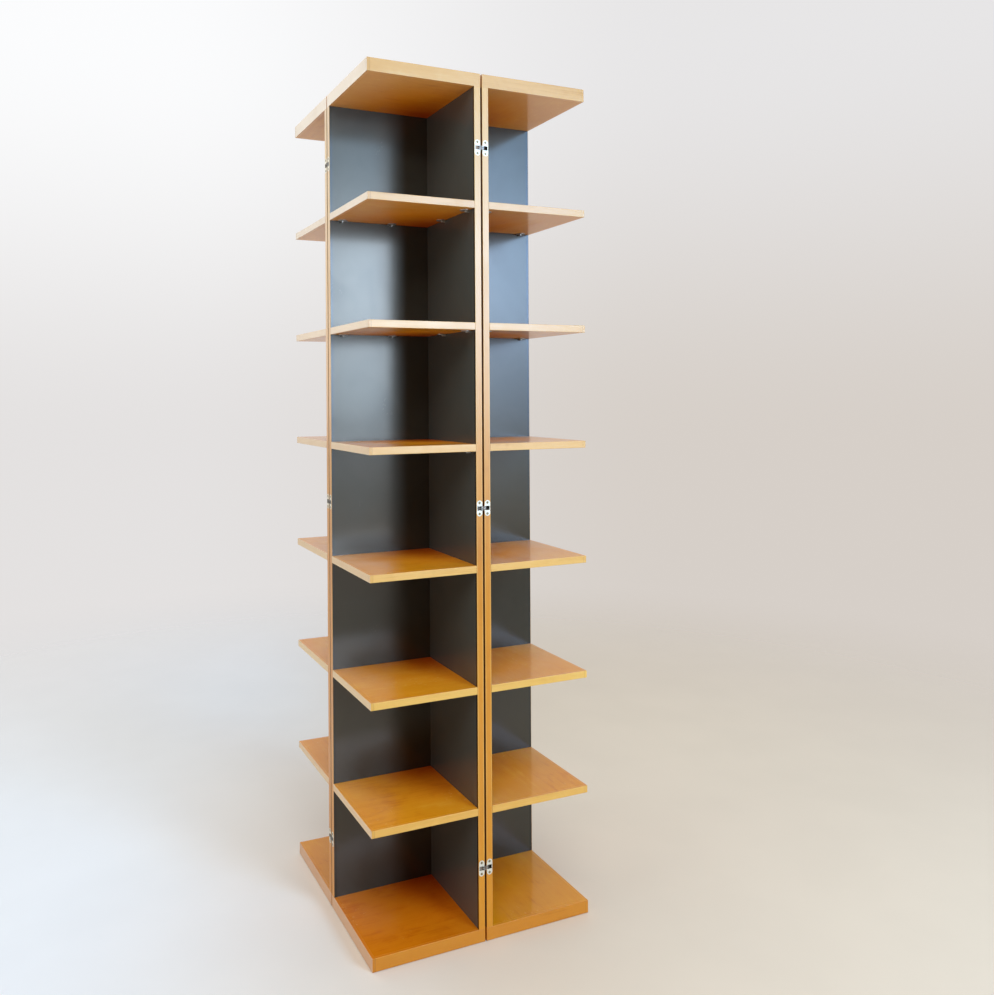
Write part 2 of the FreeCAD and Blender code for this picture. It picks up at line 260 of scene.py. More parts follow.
class BookcaseFinishes(bpy.types.PropertyGroup):
    """Colours and gloss of the lacquer, the wood and the metal."""

    panel_colour: colour("Panel lacquer", "Charcoal lacquer of the upright panels", (0.030, 0.0275, 0.0190))
    edge_gloss: share("Edge gloss", "Specular level of the solid edges", 0.36)
    panel_gloss: share("Panel gloss", "Specular level of the charcoal lacquer", 0.42)
    panel_glint: colour("Panel glint", "Tint of what the lacquer mirrors", (1.0, 0.85, 0.65))
    panel_sheen: share("Panel sheen", "Soft bloom of the lacquer at a flat angle", 0.32)
    sheen_roughness: share("Sheen roughness", "Softness of the lacquer's bloom", 0.45)
    panel_roughness: share("Panel roughness", "Roughness of the charcoal lacquer", 0.22)
    board_pale: colour("Board pale", "Palest tone of the board veneer", (0.82, 0.35, 0.030))
    board_amber: colour("Board amber", "Middle tone of the board veneer", (0.76, 0.265, 0.010))
    board_deep: colour("Board deep", "Deepest tone of the board veneer", (0.60, 0.150, 0.003))
    lipping_pale: colour("Lipping pale", "Palest tone of the solid edges", (0.84, 0.54, 0.230))
    lipping_amber: colour("Lipping amber", "Middle tone of the solid edges", (0.78, 0.44, 0.140))
    lipping_deep: colour("Lipping deep", "Deepest tone of the solid edges", (0.62, 0.30, 0.060))
    # Painted shade on the base boards near the floor, one copy for the front unit and one for the others
    base_tint: colour("Base tint", "Deepens the veneer of the front base board", (0.82, 0.60, 0.34))
    side_base_tint: colour("Side base tint", "Deepens the other base boards", (0.93, 0.92, 0.42))
    # Painted light: veneer paler in the outer parts of the high boards
    sunned_colour: colour("Sunned veneer", "Veneer that daylight has paled, high up", (0.84, 0.62, 0.38))
    scuff_colour: colour("Scuffs", "Small pale scuffs on the veneer", (0.92, 0.62, 0.24))
    # Painted shade in the inner corners of the boards
    corner_tint: colour("Corner tint", "Deepens the veneer in the inner corners", (0.66, 0.26, 0.20))
    # Painted shade on the solid edges near the floor and below the middle
    low_tint: colour("Low tint", "Deepens the solid edges near the floor", (0.76, 0.47, 0.11))
    golden_tint: colour("Golden tint", "Yellows the solid edges of the lower half", (1.0, 0.98, 0.62))
    # Painted light on the edge faces that look to the left
    side_bleached: colour("Side bleached", "Bleached solid edges on the left", (0.88, 0.80, 0.68))
    upright_tint: colour("Upright tint", "Deepens the middle of the panels' edges", (0.82, 0.52, 0.06))
    # Painted sheen paling the upright edges high up
    bleached: colour("Bleached", "Upright solid edges that are bleached, high up", (0.70, 0.50, 0.20))
    # Painted shade on the edges in the gap between two units
    gap_tint: colour("Gap tint", "Darkens the edges in the gap between two units", (0.26, 0.12, 0.04))
    wood_roughness: share("Wood roughness", "Roughness of the lacquered wood", 0.33)
    coat: share("Coat", "Weight of the clear coat on panels and solid edges", 0.35)
    coat_roughness: share("Coat roughness", "Roughness of that clear coat", 0.19)
    veneer_gloss: share("Veneer gloss", "Specular level of the boards' veneer", 0.05)
    veneer_coat: share("Veneer coat", "Weight of the clear coat on the boards' outer parts", 0.60)
    veneer_coat_inner: share("Inner veneer coat", "Weight of the boards' coat near the corner", 0.06)
    veneer_coat_roughness: share("Veneer coat roughness", "Roughness of the boards' clear coat", 0.10)
    dowel_pale: colour("Dowel pale", "Palest tone of the dowels", (0.72, 0.52, 0.33))
    dowel_amber: colour("Dowel amber", "Middle tone of the dowels", (0.60, 0.39, 0.22))
    dowel_deep: colour("Dowel deep", "Deepest tone of the dowels", (0.42, 0.24, 0.12))
    plate_bright: colour("Hinge plate", "Nickel of the hinge leaves", (0.74, 0.68, 0.55))
    plate_tarnish: colour("Plate tarnish", "Dull patches on the hinge leaves", (0.55, 0.45, 0.30))
    plate_roughness: share("Plate roughness", "Roughness of the hinge leaves", 0.45)
    plate_wear: share("Plate wear", "How worn the hinge leaves are", 0.40)
    plate_metal: share("Plate metal", "How metallic the lacquered hinge leaves look", 0.5)
    screw_colour: colour("Screw heads", "Brass of the screw heads", (0.34, 0.24, 0.11))
    # Dark colour of the screws' recesses and of a ring round their heads
    grime: colour("Grime", "Dark dirt in the screws' recesses and round their heads", (0.05, 0.04, 0.03))
    arm_bright: colour("Hinge arm", "Steel of the hinge arms and pivots", (0.34, 0.31, 0.28))
    arm_tarnish: colour("Arm tarnish", "Dull patches on the hinge arms", (0.17, 0.14, 0.11))
    arm_roughness: share("Arm roughness", "Roughness of the hinge arms", 0.38)
    arm_wear: share("Arm wear", "How worn the hinge arms are", 0.65)
    support_bright: colour("Support metal", "Nickel of the shelf supports", (0.60, 0.58, 0.54))
    support_tarnish: colour("Support tarnish", "Dull patches on the supports", (0.34, 0.31, 0.27))
    support_roughness: share("Support roughness", "Roughness of the supports", 0.42)
    support_wear: share("Support wear", "How worn the supports are", 0.45)


class BookcaseSupports(bpy.types.PropertyGroup):
    """Sizes of the flat round shelf supports and their wall pins."""

    disc_radius: length("Disc radius", "Radius of a support's disc", 0.013)
    disc_thickness: length("Disc thickness", "Thickness of a support's disc", 0.002)
    disc_edge: length("Disc edge", "Radius of the disc's rounded rim", 0.0006)
    disc_reach: length("Disc reach", "From the wall to the middle of the disc", 0.011)
    wall_clearance: length("Wall clearance", "From the wall to the flat cut on the disc", 0.0002)
    from_end: length("From end", "From the panel's outer end to the first support", 0.033)
    spacing: length("Spacing", "Between the two supports on a panel", 0.143)
    pin_radius: length("Pin radius", "Radius of the wall pin", 0.0025)
    pin_insert: length("Pin insert", "Depth of the pin in the wall", 0.008)
    pin_nose: length("Pin nose", "Radius of the rounded ends of the pin", 0.0008)
    disc_segments: count("Disc segments", "Faces round a disc", 56, 12, 96)
    pin_segments: count("Pin segments", "Faces round a pin", 20, 8, 48)
    smooth_angle: angle("Smooth angle", "Rims sharper than this stay sharp", 40.0)


class BookcaseStage(bpy.types.PropertyGroup):
    """Floor, background and lamps."""

    floor_radius: length("Floor radius", "Radius of the round floor", 12.0)
    floor_fade_start: length("Fade start", "Where the floor starts to fade into the background", 1.3)
    floor_fade_end: length("Fade end", "Where the floor has faded out", 4.2)
    # Painted light and shade on the floor: paler and cooler to the left, warmer and darker in front and to
    # the right
    floor_warm: colour("Warm floor", "Floor colour in front and to the right", (0.765, 0.645, 0.500))
    floor_cool: colour("Cool floor", "Floor colour to the left", (0.84, 0.85, 0.865))
    sky_left: colour("Left background", "Background at eye level on the left", (0.775, 0.755, 0.750))
    sky_right: colour("Right background", "Background at eye level on the right", (0.675, 0.625, 0.580))
    sky_top_left: colour("Top left background", "Background overhead, left", (0.97, 0.975, 0.985))
    sky_top_right: colour("Top right background", "Background overhead, right", (0.80, 0.79, 0.795))
    ambient_colour: colour("Ambient colour", "Colour of the light from all round", (1.0, 0.985, 0.960))
    ambient_low: amount("Low ambient", "Strength of the light from the sides and below", 0.38)
    ambient_high: amount("High ambient", "Strength of the light from above", 0.80)
    ambient_below: amount("Ambient from below", "Added strength of the light from below", 0.38)
    dim_front: share("Dim front", "Share of the even light that comes from behind the camera", 0.22)
    front_radiance: amount("Front lamps", "Brightness of the lamps mirrored in the panels", 22.5)
    overhead_radiance: amount("Overhead lamp", "Brightness of the overhead lamp", 3.6)
    left_radiance: amount("Left lamp", "Brightness of the lamp on the left", 1.7)
    back_radiance: amount("Back lamps", "Brightness of the lamps behind on the left", 1.4)


class BookcaseCamera(bpy.types.PropertyGroup):
    """Camera that stands where the photograph was taken."""

    place: FloatVectorProperty(
        name="Place", description="Where the camera stands",
        default=(-1.06756, -2.32174, 1.39074), subtype="TRANSLATION", unit="LENGTH", size=3,
    )
    yaw: angle("Yaw", "Turn of the camera to the right of +Y", 23.5212)
    pitch: angle("Pitch", "Tilt of the camera above the horizon", -0.1929)
    roll: angle("Roll", "Turn of the camera about its own axis", -0.3538)
    sensor: amount("Sensor", "Width of the sensor in millimetres", 36.0)
    focal_pixels: amount("Focal length", "Focal length in image pixels", 897.2484)
    across_pixels: amount("Shift across", "Lens shift to the right in image pixels", 83.363)
    down_pixels: amount("Shift down", "Lens shift downwards in image pixels", 101.033)
    nearest: length("Nearest", "What lies nearer isn't seen", 0.05)
    farthest: length("Farthest", "What lies farther away isn't seen", 60.0)


# Shader building

SOCKET_KINDS = {"VALUE": "NodeSocketFloat", "VECTOR": "NodeSocketVector", "RGBA": "NodeSocketColor"}


class Wire:
    """A value, vector or colour inside a node tree. Arithmetic on it adds Math nodes to the tree."""

    def __init__(self, tree, socket):
        self.tree = tree
        self.socket = socket

    def __add__(self, other):
        return calc("ADD", self, other)

    def __sub__(self, other):
        return calc("SUBTRACT", self, other)

    def __rsub__(self, other):
        return calc("SUBTRACT", other, self)

    def __mul__(self, other):
        return calc("MULTIPLY", self, other)

    def __truediv__(self, other):
        return calc("DIVIDE", self, other)

    def __abs__(self):
        return calc("ABSOLUTE", self)

    def __gt__(self, other):
        return calc("GREATER_THAN", self, other)

    def __lt__(self, other):
        return calc("LESS_THAN", self, other)


def add_node(tree, kind, values=None, **settings):
    """Adds a shader node. Settings are its own options; values set or link its inputs, colours opaque."""
    node = tree.nodes.new(kind)
    for name, value in settings.items():
        setattr(node, name, value)
    for key, value in (values or {}).items():
        if isinstance(value, Wire):
            tree.links.new(value.socket, node.inputs[key])
        else:
            node.inputs[key].default_value = (*value, 1.0) if isinstance(value, Color) else value
    return node


def outputs_of(tree, node):
    """Every output of a node, by name."""
    return {socket.name: Wire(tree, socket) for socket in node.outputs}


def work_out(kind, values, output=0, **settings):
    """One output of a new node, in the tree of the wires that it works on."""
    tree = next(value.tree for value in values.values() if isinstance(value, Wire))
    return Wire(tree, add_node(tree, kind, values, **settings).outputs[output])


def calc(operation, *values, clamp=False):
    """Result of a Math node on one to three values."""
    return work_out("ShaderNodeMath", dict(enumerate(values)), operation=operation, use_clamp=clamp)


def larger(first, second):
    """The larger of two values."""
    return calc("MAXIMUM", first, second)


def smaller(first, second):
    """The smaller of two values."""
    return calc("MINIMUM", first, second)


def remap(value, low, high, to_low=0.0, to_high=1.0, smooth=True):
    """Value carried from one range to another and held inside it."""
    inputs = {"Value": value, "From Min": low, "From Max": high, "To Min": to_low, "To Max": to_high}
    return work_out("ShaderNodeMapRange", inputs, interpolation_type="SMOOTHSTEP" if smooth else "LINEAR")


def blend(factor, first, second, how="MIX"):
    """Two colours mixed by a factor."""
    return work_out("ShaderNodeMix", {0: factor, 6: first, 7: second}, 2, data_type="RGBA", blend_type=how)


def tinted(first, second, factor=1.0):
    """A colour multiplied by another."""
    return blend(factor, first, second, "MULTIPLY")


def choose(factor, first, second):
    """The first vector where the factor is 0 and the second where it is 1."""
    return work_out("ShaderNodeMix", {0: factor, 4: first, 5: second}, 1, data_type="VECTOR")


def vector_math(operation, first, second, output="Vector"):
    """Result of a Vector Math node."""
    return work_out("ShaderNodeVectorMath", {0: first, 1: second}, output, operation=operation)


def noise(vector, scale, detail=2.0, roughness=0.5, distortion=0.0, stretch=(1.0, 1.0, 1.0)):
    """Noise over a position in metres, scale in features a metre, stretched by axis."""
    inputs = {
        "Vector": vector_math("MULTIPLY", vector, stretch), "Scale": scale, "Detail": detail,
        "Roughness": roughness, "Distortion": distortion,
    }
    return work_out("ShaderNodeTexNoise", inputs, noise_dimensions="3D")


def join(x, y, z):
    """Vector from three values."""
    return work_out("ShaderNodeCombineXYZ", {0: x, 1: y, 2: z})


def split(vector):
    """The three values of a vector."""
    node = add_node(vector.tree, "ShaderNodeSeparateXYZ", {0: vector})
    return [Wire(vector.tree, socket) for socket in node.outputs]


def object_place(tree):
    """Position on a piece, in metres."""
    return outputs_of(tree, add_node(tree, "ShaderNodeTexCoord"))["Object"]


def turned(vector, turn):
    """Vector turned by three angles."""
    return work_out("ShaderNodeMapping", {"Vector": vector, "Rotation": turn}, vector_type="POINT")


def unit_place(tree, unit):
    """Position on a piece turned back into the front unit's own place."""
    return turned(object_place(tree), (0.0, 0.0, -math.radians(UNIT_TURNS[unit])))


def relief(height, distance):
    """Normal of a surface with a fine relief, its depth in metres."""
    return work_out("ShaderNodeBump", {"Height": height, "Distance": distance})


def socket_name(argument):
    """Name of the group input that stands for a function's argument."""
    return argument.replace("_", " ").title()


def build_group(name, fill):
    """Node group that takes a Vector and a function's other arguments, and gives what it returns."""
    group = bpy.data.node_groups.new(name, "ShaderNodeTree")
    group.interface.new_socket(name="Vector", in_out="INPUT", socket_type=SOCKET_KINDS["VECTOR"])
    for argument, details in list(inspect.signature(fill).parameters.items())[1:]:
        kind = SOCKET_KINDS["VALUE" if isinstance(details.default, float) else "RGBA"]
        socket = group.interface.new_socket(name=socket_name(argument), in_out="INPUT", socket_type=kind)
        socket.default_value = details.default
    given = group.nodes.new("NodeGroupInput").outputs
    made = fill(*(Wire(group, socket) for socket in given if socket.name))
    for label, wire in made.items():
        kind = SOCKET_KINDS[wire.socket.type]
        group.interface.new_socket(name=label, in_out="OUTPUT", socket_type=kind)
    add_node(group, "NodeGroupOutput", made)


def shared_effect(name):
    """Turns a function on wires into one that places a node group.

    The group is built from the function when it is first placed. The function's arguments with their
    defaults are the group's inputs, and what it returns by name are the group's outputs.
    """
    def take(fill):
        def place(vector, **values):
            if name not in bpy.data.node_groups:
                build_group(name, fill)
            inputs = {"Vector": vector} | {socket_name(key): value for key, value in values.items()}
            node = add_node(vector.tree, "ShaderNodeGroup", inputs, node_tree=bpy.data.node_groups[name])
            return outputs_of(vector.tree, node)
        place.__doc__ = fill.__doc__
        return place
    return take


# Shared effects

@shared_effect("Edge Joint")
def edge_joint(vector, width=GLUE_LINE_WIDTH):
    """Fine dark glue line where the boards meet their lippings, and where one lipping butts the other."""
    x, y, _ = split(vector)
    lines = (calc("SUBTRACT", 1.0, abs(axis - LIPPING_LINE) / width, clamp=True) for axis in (x, y))
    return {"Line": larger(*lines)}


@shared_effect("Lipping Run")
def lipping_run(vector):
    """Follows each lipping: along the side edge, along the front edge, or up the panel's end.

    Also tells the parts that the boards' veneer and the panels' lacquer run over.
    """
    x, y, z = split(vector)
    beside = larger(x > PANEL_FACE - NEARLY, y > PANEL_FACE - NEARLY)
    upright = beside * ((z > BASE_TOP) * (z < TOP_UNDERSIDE))
    flat = 1.0 - upright
    side = x < LIPPING_LINE
    lying = choose(side, join(x, y, z), join(y, x, z))
    front_end = remap(y, *(OUTER_FACE + depth for depth in END_DEPTHS))
    gap_end = remap(y, *(INNER_END - depth for depth in END_DEPTHS))
    covered = remap(smaller(x, y) - OUTER_FACE, *EASED_DEPTHS)
    across = larger(x, y)
    gap_side = upright * (across > INNER_END - EASED_EDGE)
    return {
        "Grain Vector": choose(upright, lying, join(z, x, y)),
        "End Grain": side * larger(front_end, gap_end) * flat,
        "Veneered": covered * (flat * (1.0 - gap_end)),
        "Lacquered": covered * (upright - gap_side),
        "Upright": upright,
        "Gap Side": covered * gap_side,
        "Margin": remap(abs(across - PANEL_MIDDLE), *MARGIN),
    }


@shared_effect("Wood Figure")
def wood_figure(vector, shift=0.0, pale=WHITE, amber=WHITE, deep=WHITE, fibre=0.5, bands=0.5, mottle=0.5,
                end_grain=0.0, board_tone=0.0):
    """Pale close-grained wood with its grain along X: fibre, growth bands, soft mottle and small flecks."""
    moved = vector_math("ADD", vector, join(shift, shift, shift))
    threads = noise(moved, 1.0, 3.0, 0.6, stretch=(9.0, 330.0, 330.0))
    streaks = noise(moved, 1.0, 2.0, 0.55, stretch=(3.5, 75.0, 75.0))
    swell = noise(moved, 1.0, 2.0, 0.45, 0.35, stretch=(1.7, 9.5, 9.5))
    rings = calc("SINE", swell * 52.0)
    patches = noise(moved, 1.0, 3.0, 0.55, 0.9, stretch=(20.0, 27.0, 27.0))
    clouds = noise(moved, 1.0, 1.0, 0.5, 0.5, stretch=(4.0, 7.0, 7.0))
    flecks = remap(noise(moved, 1.0, 1.0, 0.5, stretch=(170.0, 1050.0, 1050.0)), 0.64, 0.74)
    fine = (threads - 0.5) * fibre + (streaks - 0.5) * fibre
    broad = (patches - 0.5) * mottle + (clouds - 0.5) * mottle
    tone = (fine + broad) + (rings * 0.10 * bands + 0.5) + board_tone
    lower = blend(remap(tone, 0.10, 0.50), deep, amber)
    spotted = blend(flecks * 0.12, blend(remap(tone, 0.50, 0.90), lower, pale), deep)
    return {
        "Color": blend(end_grain * 0.38, spotted, deep), "Height": threads - flecks * 0.5, "Tone": tone,
    }


@shared_effect("Board Number")
def board_number(vector, shift=0.0):
    """Number of the board counted up from the base, and a small tone of its own."""
    raised = split(vector)[2] + (BOARD_PITCH / 2 - BASE_TOP)
    number = calc("FLOOR", raised / BOARD_PITCH)
    chance = work_out("ShaderNodeTexWhiteNoise", {"W": number + shift}, noise_dimensions="1D")
    return {"Number": number, "Tone": remap(chance, 0.0, 1.0, -0.06, 0.06, smooth=False)}


@shared_effect("Lacquer Skin")
def lacquer_skin(vector, roughness=0.3, smudges=0.1, peel_scale=300.0):
    """Clear lacquer: soft orange peel, wiped smudges and fine settled dust."""
    wiped = remap(noise(vector, 8.0, 4.0, 0.6, 0.8, stretch=(1.0, 1.0, 0.7)), 0.42, 0.72)
    rough = roughness + wiped * smudges + (noise(vector, 240.0, 2.0, 0.5) - 0.5) * 0.04
    speck = remap(noise(vector, 900.0, 1.0, 0.4), 0.70, 0.78)
    patch = remap(noise(vector, 14.0, 2.0, 0.5), 0.48, 0.66)
    peel = noise(vector, peel_scale, 1.0, 0.4)
    return {"Roughness": larger(rough, 0.05), "Height": peel, "Dust": speck * patch}


@shared_effect("Plated Metal")
def plated_metal(vector, bright=WHITE, tarnish=WHITE, roughness=0.3, wear=0.5):
    """Plated metal: dull patches, fine turning marks and small pits."""
    dull = remap(noise(vector, 170.0, 4.0, 0.6, 0.5), 0.42, 0.72)
    pits = remap(noise(vector, 1500.0, 1.0, 0.5), 0.66, 0.74)
    marks = noise(vector, 1.0, 2.0, 0.5, stretch=(900.0, 900.0, 5200.0))
    worn = calc("MULTIPLY", larger(dull, pits), wear, clamp=True)
    rough = roughness + worn * 0.18 + (marks - 0.5) * 0.12
    return {"Color": blend(worn, bright, tarnish), "Roughness": larger(rough, 0.06), "Height": marks - pits}


@shared_effect("Charcoal Lacquer")
def charcoal_lacquer(vector, dark=WHITE, light=WHITE, roughness=0.3):
    """Charcoal lacquer: faint clouds, paler with the height, settled dust, wiped patches and peel."""
    skin = lacquer_skin(vector, roughness=roughness, smudges=0.05, peel_scale=260.0)
    clouded = blend(remap(noise(vector, 5.0, 3.0, 0.55, 0.4), 0.35, 0.68), dark, light)
    # Painted light and shade: paler and bluer higher up, darker and warmer lower down
    by_height = blend(remap(split(vector)[2], *LACQUER_PALES), LACQUER_LOW, LACQUER_HIGH)
    dusted = blend(skin["Dust"] * DUST_SHARE, tinted(clouded, by_height), DUST_TONE)
    return {"Color": dusted, "Roughness": skin["Roughness"], "Height": skin["Height"]}


@shared_effect("Board Veneer")
def board_veneer(vector, shift=0.0, pale=WHITE, amber=WHITE, deep=WHITE, corner_tint=WHITE, base_tint=WHITE,
                 scuffs=WHITE, sunned=WHITE):
    """Honey veneer with its grain along X, every board with a figure and a tone of its own.

    It is deeper in the sheltered corner, and its outer parts are wiped and polished.
    """
    board = board_number(vector, shift=shift)
    x, y, z = split(vector)
    spread = join(x, y + board["Number"] * 1.31, z)
    figure = wood_figure(spread, shift=shift, board_tone=board["Tone"], pale=pale, amber=amber, deep=deep,
                         fibre=0.34, bands=0.35, mottle=0.50)
    corner = (PANEL_FACE, PANEL_FACE, 0.0)
    from_corner = vector_math("DISTANCE", join(x, y, 0.0), corner, "Value")
    wavy = noise(spread, 12.0, 2.0, 0.5) * 0.10
    # Painted corner shade; the top of the tower lies open to the room and gets none
    sheltered = remap(from_corner + wavy, *CORNER_DEEPENS) * (z < TOP_FACE - OPEN_TOP_DEPTH)
    toned = tinted(figure["Color"], blend(sheltered, WHITE, corner_tint))
    # Painted shade deepens the base board near the floor
    toned = tinted(toned, blend(remap(z, *BASE_DEEPENS), WHITE, base_tint))
    polish = remap(from_corner, *POLISH_GROWS)
    # Painted sheen: the outer parts, where the clear coat is heavier, get a greener tint
    toned = tinted(toned, POLISH_TINT, polish)
    # Painted light: the outer parts of the high boards are paler
    sunlit = remap(from_corner, *SUN_REACHES) * remap(z, *VENEER_PALES, *VENEER_PALE_SHARES)
    dashes = remap(noise(spread, 1.0, 1.0, 0.5, 0.6, stretch=(95.0, 210.0, 210.0)), 0.66, 0.73)
    worn = remap(noise(spread, 7.0, 2.0, 0.5), 0.50, 0.64)
    scuffed = blend(dashes * worn * SCUFF_SHARE, blend(sunlit, toned, sunned), scuffs)
    return {"Color": scuffed, "Height": figure["Height"], "Polish": polish}


@shared_effect("Screw Heads")
def screw_heads(vector):
    """Heads of the hinge screws, their dark rims and everything that lies below the leaf's face."""
    x, y, z = split(vector)
    across = larger(x, y) - PANEL_MIDDLE
    half = HINGE_SPACING / 2
    along = abs(calc("WRAP", z - HINGE_HEIGHT, half, -half)) - SCREW_OFFSET
    distance = calc("SQRT", across * across + along * along)
    ring = remap(abs(distance - SCREW_HEAD), *SCREW_RIM)
    sunk = remap(smaller(x, y) - OUTER_FACE, *RECESS_DEPTHS)
    return {"Head": distance < SCREW_HEAD, "Grime": larger(ring * 0.8, sunk)}


# Materials

def new_material(name):
    """Material with an empty node tree."""
    material = bpy.data.materials.new(name)
    material.use_nodes = True
    material.node_tree.nodes.clear()
    return material, material.node_tree


def principled(tree, values):
    """Principled shader, its values set or linked."""
    return Wire(tree, add_node(tree, "ShaderNodeBsdfPrincipled", values).outputs[0])


def surfaced(material, shader):
    """The material, with a shader as its surface."""
    add_node(shader.tree, "ShaderNodeOutputMaterial", {"Surface": shader})
    return material


def panel_tones(finishes):
    """Dark and light tone of the panels' lacquer."""
    dark, light = (finishes.panel_colour * part for part in LACQUER_CLOUDS)
    return {"dark": dark, "light": light, "roughness": finishes.panel_roughness}


def wood_tones(finishes, wood):
    """The three tones of a wood."""
    return {tone: getattr(finishes, wood + "_" + tone) for tone in ("pale", "amber", "deep")}


def metal_look(finishes, metal):
    """Tones, roughness and wear of a metal."""
    parts = ("bright", "tarnish", "roughness", "wear")
    return {part: getattr(finishes, metal + "_" + part) for part in parts}


def board_tones(unit, finishes):
    """Tones of the boards' veneer and the unit's own place in its figure."""
    # The front base board and the others carry different painted shade
    base_tint = finishes.base_tint if unit == "front" else finishes.side_base_tint
    return wood_tones(finishes, "board") | {
        "shift": UNIT_SHIFTS[unit], "corner_tint": finishes.corner_tint, "base_tint": base_tint,
        "scuffs": finishes.scuff_colour, "sunned": finishes.sunned_colour,
    }


def wood_skin(position, finishes):
    """Clear lacquer on the wood."""
    return lacquer_skin(position, roughness=finishes.wood_roughness, smudges=0.10, peel_scale=180.0)


def panel_material(unit, finishes):
    """Charcoal lacquer under a clear coat."""
    material, tree = new_material(unit + "_charcoal_lacquer")
    lacquer = charcoal_lacquer(unit_place(tree, unit), **panel_tones(finishes))
    return surfaced(material, principled(tree, {
        "Base Color": lacquer["Color"], "Roughness": lacquer["Roughness"],
        "Normal": relief(lacquer["Height"], LACQUER_RELIEF),
        "Specular IOR Level": finishes.panel_gloss, "Specular Tint": finishes.panel_glint,
        "Sheen Weight": finishes.panel_sheen, "Sheen Roughness": finishes.sheen_roughness,
        "Sheen Tint": LACQUER_BLOOM,
        "Coat Weight": finishes.coat, "Coat Roughness": finishes.coat_roughness,
    }))


def board_material(unit, finishes):
    """Honey veneer of the boards and shelves, its grain along the front edge."""
    material, tree = new_material(unit + "_honey_veneer")
    position = unit_place(tree, unit)
    veneer = board_veneer(position, **board_tones(unit, finishes))
    skin = wood_skin(position, finishes)
    coats = (finishes.veneer_coat_inner, finishes.veneer_coat)
    return surfaced(material, principled(tree, {
        "Base Color": veneer["Color"], "Roughness": skin["Roughness"],
        "Normal": relief(veneer["Height"] * 0.6 + skin["Height"], WOOD_RELIEF),
        "Specular IOR Level": finishes.veneer_gloss,
        "Coat Weight": remap(veneer["Polish"], 0.0, 1.0, *coats, smooth=False),
        "Coat Roughness": finishes.veneer_coat_roughness,
    }))


def lipping_material(unit, finishes):
    """Solid edge wood, its grain along each lipping, partly under the veneer and the lacquer."""
    material, tree = new_material(unit + "_solid_edge_wood")
    position = unit_place(tree, unit)
    height = split(position)[2]
    shift = UNIT_SHIFTS[unit]
    run = lipping_run(position)
    board = board_number(position, shift=shift + 0.5)
    figure = wood_figure(
        run["Grain Vector"], shift=shift + 1.9, board_tone=board["Tone"], end_grain=run["End Grain"],
        fibre=0.45, bands=0.25, mottle=0.40, **wood_tones(finishes, "lipping"),
    )
    line = edge_joint(position)["Line"] * (1.0 - run["Veneered"])

    # Level edges: painted shade deepens them near the floor and turns them golden below the middle, and dims
    # them above it
    tone = blend(remap(height, *EDGE_DEEPENS), finishes.low_tint, WHITE)
    tone = blend(remap(height, *EDGE_YELLOWS), tone, tinted(tone, finishes.golden_tint))
    dimmed = remap(height, *EDGE_DIMS, *EDGE_DIM_SHARES, smooth=False)
    lying = tinted(figure["Color"], tinted(tone, join(dimmed, dimmed, dimmed)))
    # Painted light pales the faces that look to the left, more so higher up
    x, _, z = split(object_place(tree))
    leftmost = remap(x, *(OUTER_FACE + depth for depth in FACE_DEPTHS))
    lying = blend(leftmost * remap(z, *LEFT_BLEACHES, *LEFT_BLEACH_SHARES), lying, finishes.side_bleached)
    # Upright edges: deep in the middle, a painted highlight in their margins, painted sheen high up
    middle = tinted(figure["Color"], finishes.upright_tint)
    # Painted highlight in the margins of the upright edges
    standing = blend(run["Margin"] * MARGIN_SHARE, middle, lying)
    # Painted sheen pales the upright edges high up
    sunlit = remap(height, *UPRIGHT_BLEACHES) * UPRIGHT_BLEACH_SHARE
    standing = blend(sunlit, standing, finishes.bleached)
    toned = blend(run["Upright"], lying, standing)
    # Painted shade darkens the edge faces inside the gap between two units
    toned = blend(run["Gap Side"], toned, tinted(figure["Color"], finishes.gap_tint))
    lined = blend(line * GLUE_SHARE, toned, GLUE_TONE)

    veneer = board_veneer(position, **board_tones(unit, finishes))
    lacquer = charcoal_lacquer(position, **panel_tones(finishes))
    skin = wood_skin(position, finishes)
    wood = blend(run["Veneered"], lined, veneer["Color"])
    sunk = figure["Height"] - line * 0.8
    roughs = (skin["Roughness"], lacquer["Roughness"])
    return surfaced(material, principled(tree, {
        "Base Color": blend(run["Lacquered"], wood, lacquer["Color"]),
        "Roughness": remap(run["Lacquered"], 0.0, 1.0, *roughs, smooth=False),
        "Normal": relief(sunk * 0.6 + skin["Height"], WOOD_RELIEF),
        "Specular IOR Level": finishes.edge_gloss,
        "Coat Weight": remap(height, *COAT_WEARS, finishes.coat * WORN_COAT_SHARE, finishes.coat),
        "Coat Roughness": finishes.coat_roughness,
    }))


def dowel_material(finishes):
    """Plain turned beech of the hidden dowels, with short flecks."""
    material, tree = new_material("turned_dowel_wood")
    upright = turned(object_place(tree), (0.0, math.radians(90.0), 0.0))
    figure = wood_figure(
        upright, shift=21.0, fibre=0.9, bands=0.2, mottle=0.3, **wood_tones(finishes, "dowel"),
    )
    return surfaced(material, principled(tree, {
        "Base Color": figure["Color"], "Roughness": remap(figure["Tone"], 0.2, 0.8, 0.62, 0.74),
        "Normal": relief(figure["Height"], DOWEL_RELIEF),
    }))


def metal_material(name, look):
    """Plated metal of the hinge arms or the supports."""
    material, tree = new_material(name)
    metal = plated_metal(object_place(tree), **look)
    return surfaced(material, principled(tree, {
        "Base Color": metal["Color"], "Roughness": metal["Roughness"],
        "Normal": relief(metal["Height"], METAL_RELIEF), "Metallic": 1.0,
    }))


